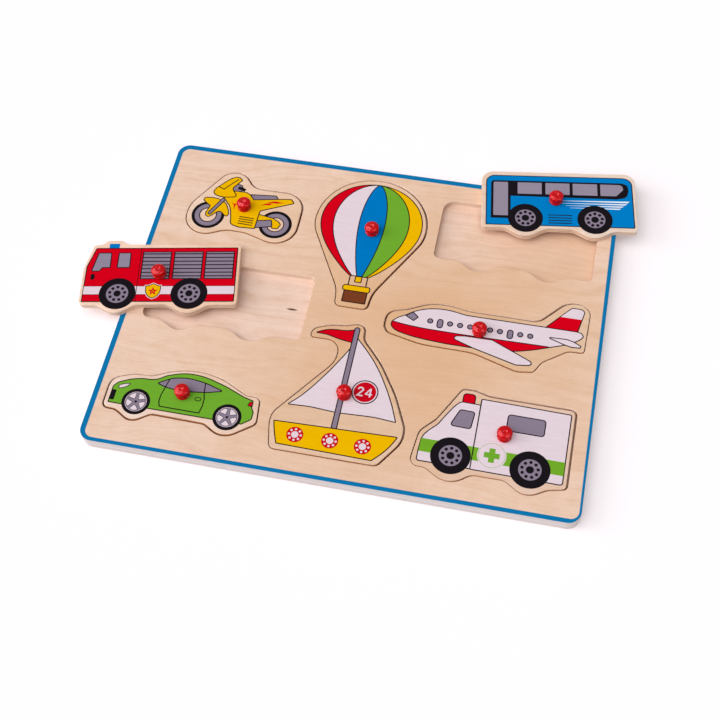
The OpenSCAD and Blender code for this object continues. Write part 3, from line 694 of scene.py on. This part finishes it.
# Fire engine board. The same plywood, lying loose over the tray's left edge. A plain
# star stands on its shield, and the shutters are ruled on grey.
INKS.update(cab_glass="#90889A", orange="#E06A10")
FIRE_ENGINE_TURN = math.radians(10.4)
SHUTTERS = ((13.7, 31.9), (34.2, 52.5), (54.6, 72.7))
SLATS = (28, 25.1, 22.2, 19.4, 16.5, 13.6, 10.8)
fire_engine = outlined(0, "red", [
    (-22.1, -8.5), (74.7, -8.5), (74.7, 32.5), (-17.3, 32.5, 1), (-21.9, 18.3, 1)])
fire_engine += plain(0, "blue", [(-9.2, 32.8), (-2.5, 32.8), (-2.5, 36.2), (-9.2, 36.2)])
fire_engine += plain(2, "white", [(-21.9, -3.2), (74.5, -3.2), (74.5, 3.1), (-21.9, 3.1)])
fire_engine += stroke(3, "line", [(-22, 3.1), (74.6, 3.1)], 0.3)
fire_engine += stroke(3, "line", [(-22, -3.2), (74.6, -3.2)], 0.3)
fire_engine += stroke(3, "line", [(12.1, -8.3), (12.1, 32.4)], 0.4)
fire_engine += outlined(2, "cab_glass", [
    (-15.4, 28.9, 0.6), (-7.1, 28.9, 0.8), (-6.8, 17.5, 0.8), (-11.9, 17.4, 0.6),
    (-13.5, 14.8, 0.6), (-18.6, 14.7, 0.6)])
fire_engine += outlined(2, "cab_glass", [
    (-2.2, 28.9, 0.6), (5.5, 28.9, 0.6), (5.8, 17.5, 0.6), (-2.3, 17.4, 0.6)])
fire_engine += plain(2, "black", [
    (-18.6, 8.1, 1.3), (-16, 8.1, 1.3), (-16, 12.7, 1.3), (-18.6, 12.7, 1.3)])
for left, right in SHUTTERS:
    fire_engine += outlined(2, "grey", [(left, 8.7), (right, 8.7), (right, 29.6), (left, 29.6)])
    for y in SLATS:
        fire_engine += stroke(4, "line", [(left, y), (right, y)], 0.75)
shield = [
    (22.7, 5.4, 0.4), (26.2, 3.6, 0.8), (28, 3.9, 0.4), (27.8, -1.5, 6), (26, -4.8, 4),
    (22.7, -6.7, 0.6), (19.4, -4.8, 4), (17.6, -1.5, 6), (17.4, 3.9, 0.4), (19.2, 3.6, 0.8)]
fire_engine += [(4, "white", [rounded(shield, 0.3)])]
fire_engine += [(5, "line", [rounded(shield, -0.2)])]
fire_engine += [(6, "yellow", [rounded(shield, -0.75)])]
STAR_AT = (22.7, -0.9)
STAR_POINTS = 5
STAR_RADII = (3.3, 1.4)
star = []
for k in range(2 * STAR_POINTS):
    radius = STAR_RADII[k % 2]
    a = math.pi / 2 + math.pi * k / STAR_POINTS
    star.append((STAR_AT[0] + radius * math.cos(a), STAR_AT[1] + radius * math.sin(a), 0.1))
fire_engine += plain(7, "red", star)
fire_engine += spot(8, "orange", *STAR_AT, 0.9, 24)
for x in (0.1, 46):
    fire_engine += lorry_wheel(
        4, x, -2.5, tyre=11.75, rim=7.1, dots_at=4.85, dot=1.05, hub=2.3)
printed("fire_engine", (25.8, 12.0), FIRE_ENGINE_TURN, fire_engine)
dress("fire_engine_board", lacquered_birch(
    "birch_fire_engine", face="#FEDBC7", streak="#D9AF8A", edge=LOOSE_EDGE,
    shift=(0.23, 0.05), grain_turn=FIRE_ENGINE_TURN))


# Aeroplane board. The same plywood, printed with an airliner in white and red with grey
# windows and doors, and a plain tail fin.
WINDOWS = (43.4, 55.9, 62.2, 68.5, 81, 87.1, 99.7, 105.9)
DOORS = (49.7, 93.5)


def ringed_spot(level, ink, x, y, radius, sides):
    """A printed disc with a thin dark line round it."""
    return spot(level, "line", x, y, radius + LINE / 2, sides) \
        + spot(level + 1, ink, x, y, radius - LINE / 2, sides)


belly = [
    (109.4, -5.5, ROUND), (97.2, -9, ROUND), (72, -10.8, ROUND), (55.5, -10.8, ROUND),
    (42.4, -10, ROUND), (33.7, -9.1, ROUND), (25, -7.2, 12), (21.6, -5.5, 6), (19.6, -2.9, 2.5)]
aeroplane = outlined(1, "white", [
    (20, -0.3, 3), (23.3, 3.2, ROUND), (27.7, 5.4, ROUND), (32, 8.9, ROUND),
    (38.1, 11.7, ROUND), (44.2, 13.2, ROUND), (51.1, 13.8, ROUND), (58.1, 13.1, ROUND),
    (64.3, 11.8, ROUND), (133.7, 12, 2), (136.6, 11.4, 1.5), (138.1, 9.3, 1),
    (136.8, 7.1, 4), (133.7, 4.5, ROUND), (127.7, 1.2, ROUND), (119.8, -1.6, ROUND)] + belly)
aeroplane += outlined(3, "red", [
    (20, -0.3, 0.4), (29.4, -1.6, ROUND), (40.7, -2.3, ROUND), (64.2, -2.5, ROUND),
    (119.4, -1.8, 0.3)] + belly)
aeroplane += outlined(5, "white", [
    (59.8, -5.6, 0.8), (60.7, -4.2, 2), (65.9, -3.3, 4), (83.3, -3.1, 4), (108.5, -14.2, 1.5),
    (109.3, -15.9, 0.8), (107.7, -17.1, 1), (99.8, -18.1, 3), (72, -10.7, 8),
    (60.7, -6.8, 1)])
aeroplane += outlined(0, "red", [
    (114.3, 11.8, 0.4), (128.5, 28.3, 1.5), (129.8, 28.9, 1), (135, 28.7, 1.5),
    (137, 27.1, 1.5), (134.1, 11.8)])
aeroplane += plain(2, "white", [
    (122.6, 21.2, 0.1), (128.6, 28, 1.3), (129.9, 28.6, 1), (134.9, 28.4, 1.3),
    (136.7, 26.9, 1.3), (135.6, 21.2, 0.1)])
aeroplane += outlined(5, "white", [
    (115.9, 5.1, 0.4), (128.5, 5.4, 4), (132.4, 4.5, 4), (137.4, 2, 0.5), (136.8, 0.7, 0.4),
    (131.6, 0.4, 3), (126.8, 1.5, 3)])
aeroplane += outlined(5, "grey", [
    (27.7, 5.1), (31.8, 8.4), (35.6, 5.2), (33.1, 2.2)])
for x in WINDOWS:
    aeroplane += ringed_spot(5, "grey", x, 3.8, 1.6, 24)
for x in DOORS:
    aeroplane += outlined(5, "grey", [
        (x - 1.7, -0.2, 1.6), (x + 1.7, -0.2, 1.6), (x + 1.7, 6, 1.6), (x - 1.7, 6, 1.6)])
printed("aeroplane", (74.6, 1.2), 0.0, aeroplane)
dress("aeroplane_board", lacquered_birch(
    "birch_aeroplane", face="#E8C8AE", streak="#D7AB82", edge=GAP_SHADED_EDGE, shift=(0.41, 0.21)))


# Car board. The same plywood, printed with a green coupe on five-spoked wheels.
# The body's lines, the door and the handle are drawn with the same thin line.
INKS.update(deep_red="#CA0A1E")
SPOKES = 5
car = outlined(0, "green", [
    (-138.9, -87.8), (-138.9, -76.5, 2), (-136.4, -73.4, 6), (-129.4, -70.1, 20),
    (-122.4, -68.4, 20), (-114.2, -68.2, 12), (-108.4, -63.9, 12), (-98, -60.2, 30),
    (-86, -60.2, 40), (-70.4, -64.8, ROUND), (-58.4, -69.8, 20), (-51.9, -71.5, 0.4),
    (-51.7, -76.2, 1), (-50, -79, 2), (-50.1, -83.9, 1.5), (-55.3, -88, 1)])
car += outlined(2, "grey", [
    (-112.6, -69.9, 0.3), (-104.2, -64.8, 14), (-95, -63.2, 30), (-83.9, -64.5, 40),
    (-71.7, -68.3, 0.3), (-80.5, -70.8, 40), (-92, -72.4, 40), (-103.2, -72.4, 20),
    (-108.6, -71.4, 12)])
car += stroke(4, "line", [
    (-105.9, -66), (-107.2, -72), (-108.4, -78.2), (-108.3, -82.3), (-107.2, -85.2),
    (-82.3, -85.4), (-81.4, -80.3), (-81.6, -75.4), (-82.8, -71), (-83.5, -64.8)])
car += outlined(2, "green", [
    (-87.1, -77.4, 1.1), (-83.5, -77.4, 1.1), (-83.5, -75.2, 1.1), (-87.1, -75.2, 1.1)], 0.5)
car += outlined(2, "white", [
    (-135.7, -77, 0.6), (-135.1, -75.3, 1), (-132.1, -73.8, 4), (-128.4, -73.1, 0.3),
    (-131.2, -76.1, 4), (-134.4, -77.4, 1)], 0.5)
car += plain(2, "black", [(-138.8, -85.9), (-136, -85.9), (-136, -79), (-138.8, -79)])
car += outlined(2, "deep_red", [
    (-54.4, -75.1, 0.4), (-52, -75.5), (-51.7, -71.9), (-54, -73, 0.4)], 0.5)
for x, y in ((-122.2, -84.7), (-64.8, -85)):
    car += spot(2, "black", x, y, 8.8, 64)
    car += spot(3, "grey", x, y, 6.7)
    car += ring(4, "white", x, y, 6.7, 6.45)
    # Each spoke widens from the hub to the rim
    for k in range(SPOKES):
        a = math.pi / 2 + 2 * math.pi * (k + 0.5) / SPOKES
        fan = [(5.8, a - 0.5), (6, a - 0.17), (6, a + 0.17), (5.8, a + 0.5), (1.9, a)]
        car += outlined(4, "white", [
            (x + r * math.cos(b), y + r * math.sin(b), 0.5) for r, b in fan], 0.3)
    car += spot(6, "line", x, y, 0.8, 20)
printed("car", (-95.3, -74.6), 0.0, car)
dress("car_board", lacquered_birch(
    "birch_car", face="#F5DCD0", streak="#D9AF8A", edge=GAP_SHADED_EDGE, shift=(0.07, 0.61)))


# Sailboat board. The same plywood, printed with a white-sailed boat with a red flag.
# The sail carries a plain number in a disc, and the hull three life rings.
NUMBER_AT = (13.4, -53.2)
FIGURE_TWO = [(-4.3, 1.4), (-3.9, 2.4), (-2.8, 2.9), (-1.6, 2.4), (-1.2, 1.3), (-4.3, -2.7),
              (-0.9, -2.7)]
FIGURE_FOUR = [
    [(2.8, -3.1), (3.8, -3.1), (3.8, -1.7), (4.6, -1.7), (4.6, -0.8), (3.8, -0.8), (3.8, 2.9),
     (2.8, 2.9), (0.2, -0.9), (0.2, -1.7), (2.8, -1.7)],
    [(1.3, -0.8), (2.8, -0.8), (2.8, 1.4)]]
RING_DOTS = 8
RING_DOTS_AT = 3.6
sailboat = outlined(2, "grey", [
    (-1.6, -80.6), (1.6, -80.6), (1.6, -9.2, 1.5), (-1.6, -9.2, 1.5)])
sailboat += outlined(0, "red", [
    (0.2, -10.3), (-5.4, -12.5, 20), (-14.3, -12.9, 30), (-19.9, -14, 20), (-25, -17, 0.2),
    (-17.8, -17.2, 20), (-9.5, -19.3, 30), (0.2, -20.6)])
sailboat += outlined(0, "white", [
    (1, -16.3, 0.3), (7.7, -23.2, ROUND), (14.6, -31, ROUND), (20.8, -39.9, ROUND),
    (26.3, -49.5, ROUND), (31.2, -59.4, ROUND), (35.5, -70.1), (22.2, -68.9, ROUND),
    (1, -69.9)])
sailboat += outlined(0, "white", [
    (-1, -23.6, 0.3), (-5.4, -32.3, ROUND), (-10.9, -42.6, ROUND), (-17.8, -53.7, ROUND),
    (-24, -62.6, ROUND), (-30.8, -69.5), (-17.8, -68.8, ROUND), (-1, -69.9)])
sailboat += spot(2, "line", *NUMBER_AT, 8.2, 64)
sailboat += spot(3, "white", *NUMBER_AT, 7.5, 64)
sailboat += spot(4, "deep_red", *NUMBER_AT, 6.8, 64)
sailboat += stroke(5, "white", [
    (NUMBER_AT[0] + x, NUMBER_AT[1] + y) for x, y in FIGURE_TWO], 1.0)
sailboat += [(5, "white", [
    rounded([(NUMBER_AT[0] + x, NUMBER_AT[1] + y, 0.1) for x, y in loop])
    for loop in FIGURE_FOUR])]
sailboat += outlined(0, "yellow", [
    (-36.4, -81.7), (38.4, -79.6), (35.3, -86.1, ROUND), (31.2, -91.9, ROUND),
    (26, -97.3), (-31.7, -96.3), (-34.3, -89.5, ROUND)])
for x, y in ((-21.9, -88.8), (-0.6, -89), (19.2, -89.3)):
    sailboat += spot(2, "deep_red", x, y, 5.1)
    sailboat += spot(3, "white", x, y, 2.2, 32)
    for k in range(RING_DOTS):
        a = 2 * math.pi * k / RING_DOTS
        sailboat += spot(
            3, "white", x + RING_DOTS_AT * math.cos(a), y + RING_DOTS_AT * math.sin(a), 0.75, 16)
printed("sailboat", (1.5, -57.3), 0.0, sailboat)
dress("sailboat_board", lacquered_birch(
    "birch_sailboat", face="#EED3BF", streak="#D5A983", edge=GAP_SHADED_EDGE, shift=(0.17, 0.83)))


# Ambulance board. The same plywood, printed with a white ambulance with a green stripe
# and the plain green cross of first aid on a disc.
INKS.update(stripe_green="#72AA2A")
CROSS_AT = (94.6, -81.2)
CROSS_REACH = 4.6
CROSS_ARM = 1.75
ambulance = outlined(0, "red", [
    (72.3, -49.6), (79.5, -49.6), (79.5, -43.1, 2), (72.3, -43.1, 2)])
ambulance += outlined(2, "white", [
    (51.6, -92, 1.5), (51.6, -85.7, 8), (52.2, -77.4, 4), (53.4, -74.3, 6), (56.1, -70.8, 12),
    (60.1, -66.7, 6), (64.1, -59.4, ROUND), (67.5, -53.6, 12), (70.3, -50.1, 4),
    (72, -49.1, 3), (83.3, -49.3), (83.3, -91.9)])
ambulance += outlined(2, "white", [
    (83.3, -92.1), (137.1, -92.6, 1.5), (137.3, -46.3, 1), (83.4, -45.2, 0.8)])
ambulance += outlined(4, "grey", [
    (71.8, -54.5, 1.5), (80.7, -54.7, 1.5), (79.7, -66.2, 1.5), (67.2, -65.9, 1.5)])
ambulance += outlined(4, "grey", [
    (100.5, -63.5, 1.8), (122.9, -63.6, 1.8), (122.9, -52.8, 1.8), (100.5, -52.6, 1.8)])
ambulance += plain(4, "stripe_green", [
    (51.9, -85.8), (137, -86.7), (137, -77.9), (52.2, -77.2)])
ambulance += stroke(5, "line", [(83.3, -91.9), (83.3, -45.3)])
ambulance += spot(6, "white", *CROSS_AT, 8.6, 64)
ambulance += ring(7, "green", *CROSS_AT, 8.0, 7.8)
ambulance += plain(7, "green", [
    (CROSS_AT[0] + x, CROSS_AT[1] + y, 0.1) for x, y in (
        (-CROSS_ARM, -CROSS_REACH), (CROSS_ARM, -CROSS_REACH), (CROSS_ARM, -CROSS_ARM),
        (CROSS_REACH, -CROSS_ARM), (CROSS_REACH, CROSS_ARM), (CROSS_ARM, CROSS_ARM),
        (CROSS_ARM, CROSS_REACH), (-CROSS_ARM, CROSS_REACH), (-CROSS_ARM, CROSS_ARM),
        (-CROSS_REACH, CROSS_ARM), (-CROSS_REACH, -CROSS_ARM), (-CROSS_ARM, -CROSS_ARM))])
for x, y in ((70.9, -85.6), (117.6, -86.2)):
    ambulance += lorry_wheel(6, x, y, tyre=11.9, rim=6.8, dots_at=4.8, dot=1.0, hub=2.35)
printed("ambulance", (100, -67.5), 0.0, ambulance)
dress("ambulance_board", lacquered_birch(
    "birch_ambulance", face="#EACCBB", streak="#D5A983", edge=GAP_SHADED_EDGE, shift=(0.53, 0.37)))


# Knobs. Red polypropylene, moulded in one with their stems and pressed into the boards.
# The mould is polished, so they are glossy, and the plastic lets a little light in.
def moulded_plastic(name, colour):
    """Glossy injection-moulded plastic with faint flow marks."""
    material, tree, shader = blank_material(name)
    place = put(tree, "ShaderNodeTexCoord", {}, {})
    flow = put(tree, "ShaderNodeTexNoise", {}, {
        "Vector": place.outputs["Object"], "Scale": 1 / (4 * MM), "Detail": 2.0})
    gloss = put(tree, "ShaderNodeMapRange", {}, {
        "Value": flow.outputs["Fac"], "To Min": 0.12, "To Max": 0.20})
    shade = put(tree, "ShaderNodeMapRange", {}, {
        "Value": flow.outputs["Fac"], "To Min": 0.94, "To Max": 1.06})
    tint = put(tree, "ShaderNodeMix", {"data_type": "RGBA", "blend_type": "MULTIPLY"}, {
        "Factor": 1.0, "A": linear(colour), "B": shade.outputs["Result"]})
    tree.links.new(tint.outputs["Result"], shader.inputs["Base Color"])
    tree.links.new(gloss.outputs["Result"], shader.inputs["Roughness"])
    shader.inputs["IOR"].default_value = 1.5
    shader.inputs["Specular IOR Level"].default_value = 0.2
    shader.inputs["Specular Tint"].default_value = (1.0, 0.36, 0.38, 1.0)
    shader.inputs["Subsurface Weight"].default_value = 0.08
    shader.inputs["Subsurface Radius"].default_value = (1.0, 0.25, 0.2)
    shader.inputs["Subsurface Scale"].default_value = 1.5 * MM
    return material


red_plastic = moulded_plastic("red_polypropylene", "#C6060F")
knobs = [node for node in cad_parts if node.endswith("_knob")]
for node in knobs:
    dress(node, red_plastic)


# Floor. A plain white table that the puzzle lies on; it keeps the soft shadow. What the
# camera sees of it is lifted a little, so that it goes white away from the puzzle.
FLOOR_HALF = 6.0
FLOOR_DROP = 0.2 * MM
FLOOR_LIFT = 0.13


def seen(tree):
    """1 for what the camera sees, by itself, mirrored or through glass, and 0 for light."""
    rays = put(tree, "ShaderNodeLightPath", {}, {})
    seen_or_mirrored = put(tree, "ShaderNodeMath", {"operation": "MAXIMUM"}, {
        0: rays.outputs["Is Camera Ray"], 1: rays.outputs["Is Glossy Ray"]})
    seen_all = put(tree, "ShaderNodeMath", {"operation": "MAXIMUM"}, {
        0: seen_or_mirrored.outputs["Value"], 1: rays.outputs["Is Transmission Ray"]})
    return seen_all.outputs["Value"]


floor_paint, tree, shader = blank_material("matt_white_floor")
shader.inputs["Base Color"].default_value = linear("#F9F1F4")
shader.inputs["Roughness"].default_value = 0.9
shader.inputs["Specular IOR Level"].default_value = 0.0
lift = put(tree, "ShaderNodeMath", {"operation": "MULTIPLY"}, {0: seen(tree), 1: FLOOR_LIFT})
shader.inputs["Emission Color"].default_value = (1.0, 1.0, 1.0, 1.0)
tree.links.new(lift.outputs["Value"], shader.inputs["Emission Strength"])
floor_mesh = bpy.data.meshes.new("floor")
floor_mesh.from_pydata(
    [(x * FLOOR_HALF, y * FLOOR_HALF, -FLOOR_DROP)
     for x, y in ((-1, -1), (1, -1), (1, 1), (-1, 1))],
    [], [(0, 1, 2, 3)])
floor_mesh.materials.append(floor_paint)
floor = bpy.data.objects.new("floor", floor_mesh)
bpy.context.scene.collection.objects.link(floor)


# Light. A white tent with broad panels over it and at its front left, as in a product
# photograph, at a plain level of about one in all. The softboxes at both sides only show
# as the shine on the knobs.
TENT_LEVEL = 0.26
# Each lamp: the way to it, its width in degrees, and its level or its brightness
PANELS = (
    ("over_panel", (-0.15, -0.25, 1.0), 72, 0.42),
    ("front_left_panel", (-0.8, -0.55, 0.85), 60, 0.20),
    ("low_left_panel", (-0.95, -0.1, 0.45), 30, 0.10))
SOFTBOXES = (
    ("left_softbox", (-0.50, 0.10, 0.83), 48, 14.0),
    ("low_left_softbox", (-0.90, -0.25, 0.35), 42, 6.0),
    ("right_softbox", (0.40, 0.0, 0.90), 32, 12.0),
    ("low_right_softbox", (0.90, -0.20, 0.40), 32, 6.0))

glossy_pieces = bpy.data.collections.new("glossy_pieces")
for node in knobs:
    glossy_pieces.objects.link(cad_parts[node])


def far_lamp(name, source, width, energy, mirrored):
    """A lamp far away: it lights everything, or is only mirrored in the glossy pieces."""
    lamp = bpy.data.lights.new(name, "SUN")
    lamp.angle = math.radians(width)
    lamp.energy = energy
    holder = bpy.data.objects.new(name, lamp)
    holder.rotation_euler = (-Vector(source)).to_track_quat("-Z", "Y").to_euler()
    holder.visible_glossy = mirrored
    holder.visible_diffuse = not mirrored
    if mirrored:
        holder.light_linking.receiver_collection = glossy_pieces
    bpy.context.scene.collection.objects.link(holder)


for name, source, width, level in PANELS:
    far_lamp(name, source, width, level * math.pi / Vector(source).normalized().z, False)
for name, source, width, brightness in SOFTBOXES:
    spread = math.pi * math.sin(math.radians(width / 2)) ** 2
    far_lamp(name, source, width, brightness * spread, True)

room = bpy.data.worlds.new("white_tent")
room.use_nodes = True
tree = room.node_tree
tree.nodes.clear()
strength = put(tree, "ShaderNodeMapRange", {}, {
    "Value": seen(tree), "To Min": TENT_LEVEL, "To Max": 1.0})
glow = put(tree, "ShaderNodeBackground", {}, {
    "Color": (1.0, 1.0, 1.0, 1.0), "Strength": strength.outputs["Result"]})
put(tree, "ShaderNodeOutputWorld", {}, {"Surface": glow.outputs["Background"]})
bpy.context.scene.world = room
bpy.context.scene.view_settings.view_transform = "Standard"


# Camera. It stands where the photograph's stood, found from the tray's four corners.
LENS_MM = 61.04
SENSOR_MM = 36.0
CAMERA_AT = (0.1049, -0.3962, 0.6556)
CAMERA_FORWARD = (-0.13226, 0.48674, -0.86348)
CAMERA_UP = (-0.1556, 0.8504, 0.5027)
camera_data = bpy.data.cameras.new("camera")
camera_data.lens = LENS_MM
camera_data.sensor_width = SENSOR_MM
camera_data.clip_start = 0.01
camera = bpy.data.objects.new("camera", camera_data)
forward = Vector(CAMERA_FORWARD).normalized()
right = forward.cross(Vector(CAMERA_UP)).normalized()
up = right.cross(forward)
camera.matrix_world = Matrix.Translation(CAMERA_AT) \
    @ Matrix((right, up, -forward)).transposed().to_4x4()
bpy.context.scene.collection.objects.link(camera)
bpy.context.scene.camera = camera
